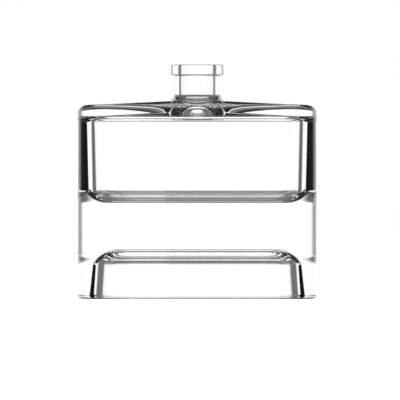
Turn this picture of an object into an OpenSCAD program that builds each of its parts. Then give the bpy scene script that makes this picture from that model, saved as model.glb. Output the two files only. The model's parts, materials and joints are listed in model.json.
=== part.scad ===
// Rounded glass flacon with a crimp neck finish, a solid glass middle and a hollow foot.
// Origin: centre of the underside. +X runs along the width, +Y along the depth, +Z up.

/* [Body] */
// Width of the body, end to end
body_w = 67.8; // [60:0.2:80]
// Depth of the body, front to back
body_d = 27.4; // [26:0.2:32]
// Radius of the body's upright corners, seen from above
corner_r = 9.4; // [8:0.1:11]
// Height of the rim, where the walls end and the shoulder begins
rim_z = 55; // [54:0.05:58]
// Rise of the shoulder from the rim to the foot of the neck
shoulder_rise = 1.2; // [0.8:0.05:3]
// Radius of the edge between the walls and the shoulder
top_edge_r = 2.4; // [1:0.1:2.8]
// Radius of the outer edge that the flacon stands on
foot_edge_r = 0.8; // [0.3:0.1:1.2]

/* [Neck finish] */
// Outside diameter of the crimp lip
lip_d = 15; // [13:0.1:17]
// Height of the crimp lip
lip_h = 2.95; // [2:0.05:4]
// Radius of the lip's edges
lip_edge_r = 0.35; // [0.2:0.05:0.6]
// Outside diameter of the neck under the lip
neck_d = 12.95; // [12:0.05:14]
// Height of the neck between the shoulder and the lip
neck_h = 7.15; // [6:0.05:10]
// Radius of the flare where the neck meets the shoulder
neck_flare_r = 1.8; // [1:0.1:2.5]
// Diameter of the bore
bore_d = 9.3; // [8:0.05:10]
// Chamfer at the mouth of the bore
mouth_chamfer = 0.3; // [0.1:0.05:0.5]

/* [Reservoir] */
// Thickness of the end walls at the reservoir's ceiling
end_wall = 4.3; // [3:0.1:5]
// Thickness of the front and back walls at the ceiling
face_wall = 2.2; // [1.8:0.1:3]
// Radius of the reservoir's upright corners, seen from above
reservoir_r = 7.4; // [6.5:0.1:9.8]
// Height of the reservoir's floor
floor_z = 27.1; // [24:0.1:32]
// Height of the reservoir's ceiling at the walls
ceiling_z = 51.8; // [48:0.1:52]
// How far each wall leans in from ceiling to floor
reservoir_draft = 0.45; // [0.2:0.05:1]
// Radius between the walls and the floor
floor_fillet_r = 4; // [2:0.1:5]
// Radius between the walls and the ceiling
ceiling_fillet_r = 1.8; // [0.5:0.1:2.2]
// Rise of the ceiling from the walls to the bore
ceiling_rise = 1.3; // [0.4:0.1:1.5]

/* [Hollow foot] */
// Width of the standing ring at each end
end_ring = 5.9; // [4.5:0.1:7]
// Width of the standing ring at the front and the back
face_ring = 5.5; // [4:0.1:6.5]
// Radius of the hollow's upright corners, seen from above
hollow_r = 6.8; // [6.5:0.1:7]
// Height of the hollow's ceiling
hollow_z = 14.1; // [10:0.1:18]
// How far each wall of the hollow leans in from the mouth to the ceiling
hollow_draft = 0.6; // [0.3:0.05:1.2]
// Radius between the hollow's walls and its ceiling
hollow_fillet_r = 4.8; // [2:0.1:5]
// Radius of the hollow's mouth
mouth_edge_r = 1.4; // [0.5:0.1:1.6]

/* [Hidden] */
$fn = 64;
shoulder_z = rim_z + shoulder_rise;
lip_z = shoulder_z + neck_h;
total_h = lip_z + lip_h;
neck_foot_r = neck_d / 2 + neck_flare_r;
reservoir_w = body_w - 2 * end_wall;
reservoir_d = body_d - 2 * face_wall;
hollow_w = body_w - 2 * end_ring;
hollow_d = body_d - 2 * face_ring;
// Depth by which joined shapes run into each other
bite = 0.3;
// Length by which cutting shapes run out of the glass
clear = 1;

// Carries a wall profile round a rounded rectangle and fills the middle up to high. The
// profile's x is the distance from a corner's centre, near r at the wall, and y is the height.
module carried_round(w, d, r, high) {
    run_x = w / 2 - r;
    run_y = d / 2 - r;
    for (flip_x = [0, 1], flip_y = [0, 1])
        mirror([flip_x, 0, 0]) mirror([0, flip_y, 0])
            translate([run_x, run_y, 0]) rotate_extrude(angle = 90) children();
    for (turn = [0, 180]) rotate([0, 0, turn]) {
        translate([-run_x, run_y, 0]) rotate([90, 0, 90]) linear_extrude(2 * run_x) children();
        translate([run_x, run_y, 0]) rotate([90, 0, 0]) linear_extrude(2 * run_y) children();
    }
    translate([-run_x, -run_y, 0]) cube([2 * run_x, 2 * run_y, high]);
}

// The corners of a rounded rectangle, shrunk by an inset and a bite
module corners(w, d, r, inset) {
    for (x = [-1, 1], y = [-1, 1])
        translate([x * (w / 2 - r), y * (d / 2 - r)]) circle(r - inset - bite);
}

// Wall of the body: upright, with its two edges rounded
module body_profile() {
    square([corner_r - top_edge_r, rim_z]);
    translate([0, foot_edge_r]) square([corner_r, rim_z - top_edge_r - foot_edge_r]);
    square([corner_r - foot_edge_r, rim_z / 2]);
    translate([corner_r - top_edge_r, rim_z - top_edge_r]) circle(top_edge_r);
    translate([corner_r - foot_edge_r, foot_edge_r]) circle(foot_edge_r);
}

// Wall of a well of radius r at its top: it leans in by lean on the way down to a rounded floor
module well_profile(r, high, lean, fillet) {
    narrow = r - lean;
    square([narrow - fillet, high]);
    intersection() {
        translate([narrow - fillet, fillet]) circle(fillet);
        square([narrow, fillet]);
    }
    polygon([[0, fillet], [narrow, fillet], [r, high], [0, high]]);
}

// The reservoir's wall, rounded into the floor and into the ceiling
module reservoir_profile() {
    high = ceiling_z - floor_z;
    well_profile(reservoir_r, high - ceiling_fillet_r, reservoir_draft, floor_fillet_r);
    translate([reservoir_r - ceiling_fillet_r, high - ceiling_fillet_r]) circle(ceiling_fillet_r);
    square([reservoir_r - ceiling_fillet_r, high]);
}

// The hollow's wall, drawn ceiling down, with its mouth flared over a rounded edge
module hollow_profile() {
    well_profile(hollow_r, hollow_z - mouth_edge_r, hollow_draft, hollow_fillet_r);
    difference() {
        translate([0, hollow_z - mouth_edge_r])
            square([hollow_r + mouth_edge_r, mouth_edge_r + clear]);
        translate([hollow_r + mouth_edge_r, hollow_z - mouth_edge_r]) circle(mouth_edge_r);
    }
}

// Low dome over a rounded rectangle shrunk by inset, closing on a disc
module dome(w, d, r, inset, low, high, disc_r) {
    hull() {
        translate([0, 0, low - bite]) linear_extrude(bite) corners(w, d, r, inset);
        translate([0, 0, high - bite]) cylinder(r = disc_r, h = bite);
    }
}

// Neck, flare and crimp lip, turned about the bore
module neck_finish() {
    rotate_extrude() {
        translate([0, shoulder_z - bite]) square([neck_d / 2, neck_h + 2 * bite]);
        difference() {
            translate([0, shoulder_z - bite]) square([neck_foot_r, neck_flare_r + bite]);
            translate([neck_foot_r, shoulder_z + neck_flare_r]) circle(neck_flare_r);
        }
        translate([0, lip_z]) square([lip_d / 2 - lip_edge_r, lip_h]);
        translate([0, lip_z + lip_edge_r]) square([lip_d / 2, lip_h - 2 * lip_edge_r]);
        for (z = [lip_z + lip_edge_r, total_h - lip_edge_r])
            translate([lip_d / 2 - lip_edge_r, z]) circle(lip_edge_r);
    }
}

module reservoir() {
    translate([0, 0, floor_z])
        carried_round(reservoir_w, reservoir_d, reservoir_r, ceiling_z - floor_z)
            reservoir_profile();
    dome(reservoir_w, reservoir_d, reservoir_r, ceiling_fillet_r, ceiling_z,
        ceiling_z + ceiling_rise, bore_d / 2 - bite);
}

module bore() {
    translate([0, 0, ceiling_z - clear]) cylinder(d = bore_d, h = total_h + 2 * clear - ceiling_z);
    translate([0, 0, total_h - mouth_chamfer])
        cylinder(r1 = bore_d / 2, r2 = bore_d / 2 + mouth_chamfer, h = mouth_chamfer);
}

// The hollow is a well turned over, so that its floor becomes the ceiling
module hollow_foot() {
    translate([0, 0, hollow_z]) mirror([0, 0, 1])
        carried_round(hollow_w, hollow_d, hollow_r, hollow_z + clear) hollow_profile();
}

module glass_bottle() {
    color("gainsboro", 0.4) difference() {
        union() {
            carried_round(body_w, body_d, corner_r, rim_z) body_profile();
            dome(body_w, body_d, corner_r, top_edge_r, rim_z, shoulder_z, neck_foot_r - bite);
            neck_finish();
        }
        reservoir();
        bore();
        hollow_foot();
    }
}

glass_bottle();
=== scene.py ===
import json
import math

import bmesh
import bpy
from bpy.props import FloatProperty, FloatVectorProperty, PointerProperty
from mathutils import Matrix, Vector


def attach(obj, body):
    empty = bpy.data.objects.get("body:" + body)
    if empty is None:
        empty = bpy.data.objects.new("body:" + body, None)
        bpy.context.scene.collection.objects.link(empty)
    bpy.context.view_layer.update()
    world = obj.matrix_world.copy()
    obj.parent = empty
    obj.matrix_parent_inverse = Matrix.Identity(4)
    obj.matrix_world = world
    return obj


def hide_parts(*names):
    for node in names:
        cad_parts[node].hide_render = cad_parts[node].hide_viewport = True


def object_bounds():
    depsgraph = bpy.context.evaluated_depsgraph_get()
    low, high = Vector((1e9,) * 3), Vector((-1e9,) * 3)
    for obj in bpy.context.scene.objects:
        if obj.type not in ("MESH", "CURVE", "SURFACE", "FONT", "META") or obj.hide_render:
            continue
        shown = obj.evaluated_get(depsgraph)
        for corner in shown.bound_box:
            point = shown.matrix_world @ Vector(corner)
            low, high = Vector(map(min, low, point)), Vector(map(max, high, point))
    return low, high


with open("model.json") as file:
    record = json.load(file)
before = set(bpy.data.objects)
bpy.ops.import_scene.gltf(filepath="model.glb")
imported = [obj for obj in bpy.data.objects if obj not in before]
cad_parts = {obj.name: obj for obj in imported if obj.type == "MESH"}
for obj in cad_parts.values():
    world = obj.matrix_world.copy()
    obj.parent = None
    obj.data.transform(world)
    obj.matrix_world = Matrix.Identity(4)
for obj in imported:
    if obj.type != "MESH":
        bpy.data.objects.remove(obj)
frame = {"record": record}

bl_info = {
    "name": "Clear glass flacon",
    "version": (1, 0, 0),
    "blender": (4, 5, 0),
    "location": "View3D > Sidebar > Flacon",
    "description": "Builds a clear moulded glass flacon and the light studio round it",
    "category": "Add Mesh",
}

MM = 0.001
NODE = "glass_bottle"
CAD_LOW, CAD_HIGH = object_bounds()
CAD_SIZE = CAD_HIGH - CAD_LOW
MOUNTS = {m["name"]: m for m in frame["record"]["mounts"]}

# Steps in each upright corner, and in half of each long and each short side
CORNER_STEPS = 40
LONG_CUTS = 12
SHORT_CUTS = 3
RING = 4 * (CORNER_STEPS + LONG_CUTS + SHORT_CUTS)

# How far inside a rounded edge the next ring lies, in radii of the edge
EDGE_ROOM = 1.15

# Width of the camera's sensor in millimetres, and side of the floor in metres
SENSOR = 36
FLOOR = 8


def length(name, description, millimetres):
    """A length property, given in millimetres."""
    return FloatProperty(name=name, description=description, default=millimetres * MM,
                         unit="LENGTH", precision=5)


def level(name, description, value):
    """A plain number property that can't be negative."""
    return FloatProperty(name=name, description=description, default=value, min=0.0)


class FlaconBody(bpy.types.PropertyGroup):
    """Sizes of the outside, below the neck."""
    corner_x: length("Corner length", "Run of an upright corner along the width", 10.5)
    corner_y: length("Corner depth", "Run of an upright corner along the depth", 12.2)
    power: FloatProperty(name="Corner power", description="2 is elliptic, more is squarer",
                         default=2.5, min=1.0)
    rim_z: length("Rim", "Height where the walls end", 55.0)
    shoulder_z: length("Shoulder", "Height of the neck's foot", 56.2)
    top_edge: length("Top edge", "Radius between the walls and the shoulder", 2.45)
    foot_edge: length("Foot edge", "Radius of the outer standing edge", 0.9)


class FlaconNeck(bpy.types.PropertyGroup):
    """Sizes of the neck and the crimp lip."""
    neck_r: length("Neck radius", "Outer radius under the lip", 6.475)
    lip_h: length("Lip height", "Height of the crimp lip", 2.95)
    lip_edge: length("Lip edge", "Radius of the lip's edges", 0.35)
    flare: length("Flare", "Radius between the neck and the shoulder", 1.8)


class FlaconReservoir(bpy.types.PropertyGroup):
    """Sizes of the reservoir."""
    half_x: length("Half width", "Half width under the ceiling", 29.6)
    half_y: length("Half depth", "Half depth under the ceiling", 11.5)
    corner_x: length("Corner length", "Run of an upright corner along the width", 9.5)
    corner_y: length("Corner depth", "Run of an upright corner along the depth", 6.6)
    power: FloatProperty(name="Corner power", description="2 is elliptic, more is squarer",
                         default=2.4, min=1.0)
    floor_z: length("Floor", "Height of the floor", 27.1)
    ceiling_z: length("Ceiling", "Height of the ceiling at the walls", 51.8)
    ceiling_rise: length("Ceiling rise", "Rise of the ceiling towards the bore", 1.3)
    floor_fillet: length("Floor fillet", "Radius between walls and floor", 4.0)
    ceiling_fillet: length("Ceiling fillet", "Radius between walls and ceiling", 1.85)
    lean: length("Lean", "How far the walls lean in from ceiling to floor", 0.45)


class FlaconHollow(bpy.types.PropertyGroup):
    """Sizes of the hollow foot."""
    half_x: length("Half width", "Half width at the mouth", 28.0)
    half_y: length("Half depth", "Half depth at the mouth", 8.2)
    corner_x: length("Corner length", "Run of an upright corner along the width", 8.8)
    corner_y: length("Corner depth", "Run of an upright corner along the depth", 6.6)
    power: FloatProperty(name="Corner power", description="2 is elliptic, more is squarer",
                         default=2.3, min=1.0)
    ceiling_z: length("Ceiling", "Height of the ceiling", 14.1)
    fillet: length("Fillet", "Radius between walls and ceiling", 4.8)
    mouth_edge: length("Mouth edge", "Radius of the mouth's edge", 1.4)
    lean: length("Lean", "How far the walls lean in from mouth to ceiling", 0.6)


class FlaconGlass(bpy.types.PropertyGroup):
    """The look of the glass."""
    tint: FloatVectorProperty(name="Tint", description="Colour of the glass", subtype="COLOR",
                              default=(1.0, 1.0, 1.0), min=0.0, max=1.0)
    cords: FloatVectorProperty(name="Cords", description="Colour of the darkest cords",
                               subtype="COLOR", default=(0.985, 0.99, 0.985), min=0.0, max=1.0)
    ripple: length("Ripple", "Depth of the ripple on the surface", 0.001)
    ior: FloatProperty(name="IOR", description="Index of refraction", default=1.52, min=1.0)


class FlaconStudio(bpy.types.PropertyGroup):
    """The camera, the floor and the lights."""
    frame_w: length("Frame", "Width of the picture at the bottle", 113.3)
    lens: FloatProperty(name="Lens", description="Focal length in millimetres", default=1000.0,
                        min=50.0)
    aim_x: length("Aim along", "Where the camera aims along the width", 0.8)
    aim_z: length("Aim height", "Height that the camera aims at", 28.0)
    floor: FloatVectorProperty(name="Floor", description="Colour of the floor", subtype="COLOR",
                               default=(0.9, 0.9, 0.9), min=0.0, max=1.0)
    panel_side: level("Panel side", "Degrees that the panel reaches to each side", 45.0)
    panel_up: level("Panel height", "Degrees that the panel reaches up and down", 20.0)
    overhead_from: level("Overhead from", "Degrees above level where overhead light starts", 60.0)
    front_from: level("Front from", "Degrees round from the panel where front light starts", 135.0)
    front_up: level("Front height", "Degrees that the front light reaches up and down", 40.0)
    softness: level("Softness", "Degrees over which each light fades, each way", 10.0)
    panel: level("Panel", "Strength of the panel", 1.0)
    overhead: level("Overhead", "Strength of the overhead light", 1.5)
    front: level("Front", "Strength of the front light", 0.5)
    room: level("Room", "Strength of the pale room all round", 0.15)


class Field:
    """A shader socket that takes Python operators."""

    def __init__(self, tree, socket):
        self.tree, self.socket = tree, socket

    def node(self, kind, settings=None, **inputs):
        """Adds a node: its settings first, then the values or links of its sockets."""
        made = self.tree.nodes.new(kind)
        for key, value in (settings or {}).items():
            setattr(made, key, value)
        for key, value in inputs.items():
            slot = made.inputs[int(key[1:])] if key[0] == "i" and key[1:].isdigit() \
                else made.inputs[key.replace("_", " ")]
            if isinstance(value, Field):
                self.tree.links.new(value.socket, slot)
            else:
                slot.default_value = value
        return made

    def math(self, operation, *values):
        made = self.node("ShaderNodeMath", {"operation": operation},
                         **{f"i{n}": value for n, value in enumerate(values)})
        return Field(self.tree, made.outputs[0])

    def __add__(self, other):
        return self.math("ADD", self, other)

    def __rsub__(self, other):
        return self.math("SUBTRACT", other, self)

    def __mul__(self, other):
        return self.math("MULTIPLY", self, other)

    def step(self, low, high):
        """A soft step from 0 at low to 1 at high."""
        made = self.node("ShaderNodeMapRange", {"interpolation_type": "SMOOTHSTEP"},
                         Value=self, From_Min=low, From_Max=high)
        return Field(self.tree, made.outputs[0])


def plan(half_x, half_y, corner_x, corner_y, power):
    """Points round a rectangle with superelliptic corners, one quarter after another. The run
    between two corners has evenly spaced points."""
    quarter = []
    for n in range(SHORT_CUTS):
        quarter.append((half_x, (half_y - corner_y) * n / SHORT_CUTS))
    for n in range(CORNER_STEPS + 1):
        turn = math.pi / 2 * n / CORNER_STEPS
        quarter.append((half_x - corner_x * (1 - max(math.cos(turn), 0) ** (2 / power)),
                        half_y - corner_y * (1 - math.sin(turn) ** (2 / power))))
    for n in range(1, LONG_CUTS):
        quarter.append(((half_x - corner_x) * (1 - n / LONG_CUTS), half_y))
    half = quarter + [(-x, y) for x, y in [(0, half_y)] + quarter[:0:-1]]
    return half + [(-x, -y) for x, y in half]


def level_ring(bm, points, z):
    """A closed ring of edges at a height."""
    verts = [bm.verts.new((x, y, z)) for x, y in points]
    return [bm.edges.new(pair) for pair in zip(verts, verts[1:] + verts[:1])]


def ring_verts(edges):
    return list({v for e in edges for v in e.verts})


def rounded_tube(bm, points, low, high):
    """Upright walls, open at both ends. Gives the bottom and the top ring."""
    bottom, top = level_ring(bm, points, low), level_ring(bm, points, high)
    join_rings(bm, bottom, top)
    return bottom, top


def fill_ring(bm, edges):
    """Closes a flat ring with one face."""
    return bmesh.ops.edgeloop_fill(bm, edges=edges)["faces"][0]


def inner_ring(bm, edges, inset):
    """Draws a ring inside a flat one and gives its edges."""
    face = fill_ring(bm, edges)
    bmesh.ops.inset_region(bm, faces=[face], thickness=inset, use_even_offset=True)
    inside = list(face.edges)
    bmesh.ops.delete(bm, geom=[face], context="FACES_ONLY")
    return inside


def join_rings(bm, one, other):
    """Joins two rings of as many points, one to one, in order round the upright axis."""
    start = 0.001
    pairs = list(zip(*(sorted(ring_verts(ring), key=lambda v: (
        math.atan2(v.co.y, v.co.x) - start) % math.tau) for ring in (one, other))))
    for (a, b), (c, d) in zip(pairs, pairs[1:] + pairs[:1]):
        bm.faces.new((a, c, d, b))


def round_ring(bm, edges, radius, segments):
    """Rounds a ring of edges."""
    return bmesh.ops.bevel(bm, geom=edges, offset=radius, segments=segments, profile=0.5,
                           affect="EDGES", material=-1)


def turned_neck(bm, body, neck, reservoir):
    """Neck, lip and bore as one turned wall. Gives its outer and its inner bottom ring."""
    top = CAD_HIGH.z
    lip_r = MOUNTS["crimp_lip"]["dims"]["r_mm"] * MM
    bore_r = MOUNTS["neck_bore"]["dims"]["r_mm"] * MM
    foot_r = neck.neck_r + neck.flare * 1.1
    lip_z = top - neck.lip_h
    ceiling = reservoir.ceiling_z + reservoir.ceiling_rise
    outline = [
        (foot_r, body.shoulder_z, 0),
        (neck.neck_r, body.shoulder_z, neck.flare),
        (neck.neck_r, lip_z, neck.lip_edge),
        (lip_r, lip_z, neck.lip_edge),
        (lip_r, top, neck.lip_edge),
        (bore_r, top, neck.lip_edge),
        (bore_r, ceiling, neck.lip_edge),
        (bore_r + 2 * neck.lip_edge, ceiling, 0),
    ]
    verts = [bm.verts.new((r, 0, z)) for r, z, _ in outline]
    for pair in zip(verts, verts[1:]):
        bm.edges.new(pair)
    for vert, (_, _, radius) in zip(verts, outline):
        if radius:
            bmesh.ops.bevel(bm, geom=[vert], offset=radius, segments=8, profile=0.5,
                            affect="VERTICES", material=-1)
    edges = list({e for e in bm.edges if not e.link_faces
                  and all(abs(v.co.y) < MM / 1000 and v.co.x > 0 for v in e.verts)
                  and all(len(v.link_faces) == 0 for v in e.verts)})
    spun = {v for e in edges for v in e.verts}
    bmesh.ops.spin(bm, geom=list(spun) + edges, cent=(0, 0, 0), axis=(0, 0, 1),
                   angle=math.tau, steps=RING, use_merge=True)
    rims = [e for e in bm.edges
            if e.is_boundary and math.hypot(*e.verts[0].co.xy) < foot_r + MM / 100]
    foot = [e for e in rims if math.hypot(*e.verts[0].co.xy) > foot_r - MM / 100]
    bore = [e for e in rims if math.hypot(*e.verts[0].co.xy) < neck.neck_r]
    return foot, bore


def lean_in(bm, edges, room):
    """Draws an end ring in by the room's lean."""
    bmesh.ops.scale(bm, vec=(1 - room.lean / room.half_x, 1 - room.lean / room.half_y, 1),
                    verts=ring_verts(edges))


def build_outside(bm, body):
    """The body's wall. Gives its rim, the ring inside the rim and the standing ring."""
    points = plan(CAD_SIZE.x / 2, CAD_SIZE.y / 2, body.corner_x, body.corner_y, body.power)
    standing, rim = rounded_tube(bm, points, 0, body.rim_z)
    return rim, inner_ring(bm, rim, body.top_edge * EDGE_ROOM), standing


def build_reservoir(bm, room):
    """The reservoir's wall and floor. Gives its floor's edge, its ceiling's edge and the ring
    inside that."""
    points = plan(room.half_x, room.half_y, room.corner_x, room.corner_y, room.power)
    floor, rim = rounded_tube(bm, points, room.floor_z, room.ceiling_z)
    lean_in(bm, floor, room)
    fill_ring(bm, floor)
    return floor, rim, inner_ring(bm, rim, room.ceiling_fillet * EDGE_ROOM)


def build_hollow(bm, room):
    """The hollow foot's wall and ceiling. Gives its mouth's and its ceiling's edge."""
    points = plan(room.half_x, room.half_y, room.corner_x, room.corner_y, room.power)
    mouth, ceiling = rounded_tube(bm, points, 0, room.ceiling_z)
    lean_in(bm, ceiling, room)
    fill_ring(bm, ceiling)
    return mouth, ceiling


def output(tree, kind, socket, settings=None, **inputs):
    """Adds a node to a tree and gives one of its outputs as a field."""
    return Field(tree, Field(tree, None).node(kind, settings, **inputs).outputs[socket])


def glass(look):
    """Clear moulded glass: faint cords of darker glass, and the faint ripple that a mould leaves."""
    material = bpy.data.materials.new("clear_glass")
    material.use_nodes = True
    tree = material.node_tree
    shader = tree.nodes["Principled BSDF"]
    shader.inputs["Transmission Weight"].default_value = 1.0
    shader.inputs["IOR"].default_value = look.ior
    shader.inputs["Roughness"].default_value = 0.0
    place = output(tree, "ShaderNodeTexCoord", "Object")
    cords = output(tree, "ShaderNodeTexNoise", "Fac", Vector=place, Scale=40.0, Detail=2.0)
    ripple = output(tree, "ShaderNodeTexNoise", "Fac", Vector=place, Scale=160.0, Detail=1.0)
    colour = output(tree, "ShaderNodeMix", 2, {"data_type": "RGBA"}, i0=cords,
                    i6=(*look.tint, 1), i7=(*look.cords, 1))
    tree.links.new(colour.socket, shader.inputs["Base Color"])
    bump = output(tree, "ShaderNodeBump", "Normal", Height=ripple, Strength=1.0,
                  Distance=look.ripple)
    tree.links.new(bump.socket, shader.inputs["Normal"])
    return material


def light_room(studio):
    """A bright panel behind the bottle, soft light from overhead, a weaker light in front and a
    pale room. The camera itself sees plain white behind the bottle."""
    world = bpy.data.worlds.new("studio")
    world.use_nodes = True
    tree = world.node_tree
    direction = output(tree, "ShaderNodeTexCoord", "Generated")
    split = direction.node("ShaderNodeSeparateXYZ", Vector=direction)
    x, y, z = (Field(tree, socket) for socket in split.outputs)
    turn = x.math("ARCTAN2", x, y)
    side = turn.math("ABSOLUTE", turn) * math.degrees(1)
    up = z.math("ARCSINE", z) * math.degrees(1)
    level = up.math("ABSOLUTE", up)
    soft = studio.softness
    panel = ((1 - side.step(studio.panel_side - soft, studio.panel_side + soft))
             * (1 - level.step(studio.panel_up - soft, studio.panel_up + soft)))
    overhead = up.step(studio.overhead_from - soft, studio.overhead_from + soft)
    front = (side.step(studio.front_from - soft, studio.front_from + soft)
             * (1 - level.step(studio.front_up - soft, studio.front_up + soft)))
    room = (panel * studio.panel + overhead * studio.overhead + front * studio.front
            + studio.room)
    seen = output(tree, "ShaderNodeLightPath", "Is Camera Ray")
    light = room + seen * (1 - room)
    tree.links.new(light.socket, tree.nodes["Background"].inputs["Color"])
    return world


def soft_light(name, size, place, turn, radiance):
    """A rectangular light of a given radiance."""
    light = bpy.data.lights.new(name, "AREA")
    light.shape = "RECTANGLE"
    light.size, light.size_y = size
    light.energy = radiance * math.pi * size[0] * size[1]
    lamp = bpy.data.objects.new(name, light)
    lamp.location = place
    lamp.rotation_euler = turn
    bpy.context.scene.collection.objects.link(lamp)


def lay_floor(colour):
    """A plain pale floor. It isn't seen through the glass, which is lit by the room alone."""
    bm = bmesh.new()
    bmesh.ops.create_grid(bm, x_segments=1, y_segments=1, size=FLOOR / 2)
    mesh = bpy.data.meshes.new("floor")
    bm.to_mesh(mesh)
    bm.free()
    floor = bpy.data.objects.new("floor", mesh)
    bpy.context.scene.collection.objects.link(floor)
    material = bpy.data.materials.new("floor")
    material.use_nodes = True
    shader = material.node_tree.nodes["Principled BSDF"]
    shader.inputs["Base Color"].default_value = (*colour, 1)
    shader.inputs["Roughness"].default_value = 0.9
    shader.inputs["Emission Color"].default_value = (1, 1, 1, 1)
    shader.inputs["Emission Strength"].default_value = 1.0
    mesh.materials.append(material)
    floor.visible_glossy = floor.visible_transmission = False


class FLACON_OT_bottle(bpy.types.Operator):
    """Build the bottle, one piece of glass from the lip to the hollow foot"""
    bl_idname = "flacon.bottle"
    bl_label = "Bottle"

    def execute(self, context):
        scene = context.scene
        body, room, hollow = scene.flacon_body, scene.flacon_reservoir, scene.flacon_hollow
        bm = bmesh.new()
        rim, inside, standing = build_outside(bm, body)
        floor, ceiling, within = build_reservoir(bm, room)
        foot, bore = turned_neck(bm, body, scene.flacon_neck, room)
        mouth, roof = build_hollow(bm, hollow)
        join_rings(bm, inside, foot)
        join_rings(bm, within, bore)
        join_rings(bm, standing, mouth)
        bmesh.ops.recalc_face_normals(bm, faces=bm.faces)
        round_ring(bm, rim, body.top_edge, 12)
        round_ring(bm, standing, body.foot_edge, 6)
        round_ring(bm, mouth, hollow.mouth_edge, 10)
        round_ring(bm, roof, hollow.fillet, 16)
        round_ring(bm, floor, room.floor_fillet, 16)
        round_ring(bm, ceiling, room.ceiling_fillet, 8)
        mesh = bpy.data.meshes.new("flacon")
        bm.to_mesh(mesh)
        bm.free()
        mesh.shade_smooth()
        bottle = bpy.data.objects.new("flacon", mesh)
        scene.collection.objects.link(bottle)
        mesh.materials.append(glass(scene.flacon_glass))
        steady = bottle.modifiers.new("steady normals", "WEIGHTED_NORMAL")
        steady.weight = 100
        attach(bottle, "root")
        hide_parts(NODE)
        return {"FINISHED"}


class FLACON_OT_studio(bpy.types.Operator):
    """Set up the light, the floor and the camera"""
    bl_idname = "flacon.studio"
    bl_label = "Studio"

    def execute(self, context):
        scene = context.scene
        studio = scene.flacon_studio
        scene.view_settings.view_transform = "Standard"
        scene.world = light_room(studio)
        lay_floor(studio.floor)
        facing = (math.pi / 2, 0, 0)
        soft_light("left strip", (0.013, 0.8), (-0.0172, -0.5, 0.03), facing, 0.6)
        soft_light("right strip", (0.04, 0.8), (0.0447, -0.5, 0.03), facing, 0.25)
        camera = bpy.data.objects.new("camera", bpy.data.cameras.new("camera"))
        scene.collection.objects.link(camera)
        camera.data.lens = studio.lens
        camera.data.sensor_width = SENSOR
        distance = studio.frame_w / SENSOR * studio.lens
        camera.location = (studio.aim_x, -distance, studio.aim_z)
        camera.rotation_euler = (math.pi / 2, 0, 0)
        camera.data.clip_end = 20
        scene.camera = camera
        return {"FINISHED"}


class FLACON_PT_panel(bpy.types.Panel):
    """Lists the build steps"""
    bl_label = "Flacon"
    bl_idname = "FLACON_PT_panel"
    bl_space_type = "VIEW_3D"
    bl_region_type = "UI"
    bl_category = "Flacon"

    def draw(self, context):
        for operator in OPERATORS:
            self.layout.operator(operator.bl_idname)


GROUPS = {
    "flacon_body": FlaconBody,
    "flacon_neck": FlaconNeck,
    "flacon_reservoir": FlaconReservoir,
    "flacon_hollow": FlaconHollow,
    "flacon_glass": FlaconGlass,
    "flacon_studio": FlaconStudio,
}
OPERATORS = (FLACON_OT_bottle, FLACON_OT_studio)


def register():
    for name, group in GROUPS.items():
        bpy.utils.register_class(group)
        setattr(bpy.types.Scene, name, PointerProperty(type=group))
    for operator in OPERATORS:
        bpy.utils.register_class(operator)
    bpy.utils.register_class(FLACON_PT_panel)


def unregister():
    bpy.utils.unregister_class(FLACON_PT_panel)
    for operator in OPERATORS:
        bpy.utils.unregister_class(operator)
    for name, group in GROUPS.items():
        delattr(bpy.types.Scene, name)
        bpy.utils.unregister_class(group)


def main():
    register()
    bpy.ops.flacon.bottle()
    bpy.ops.flacon.studio()


if __name__ == "__main__":
    main()
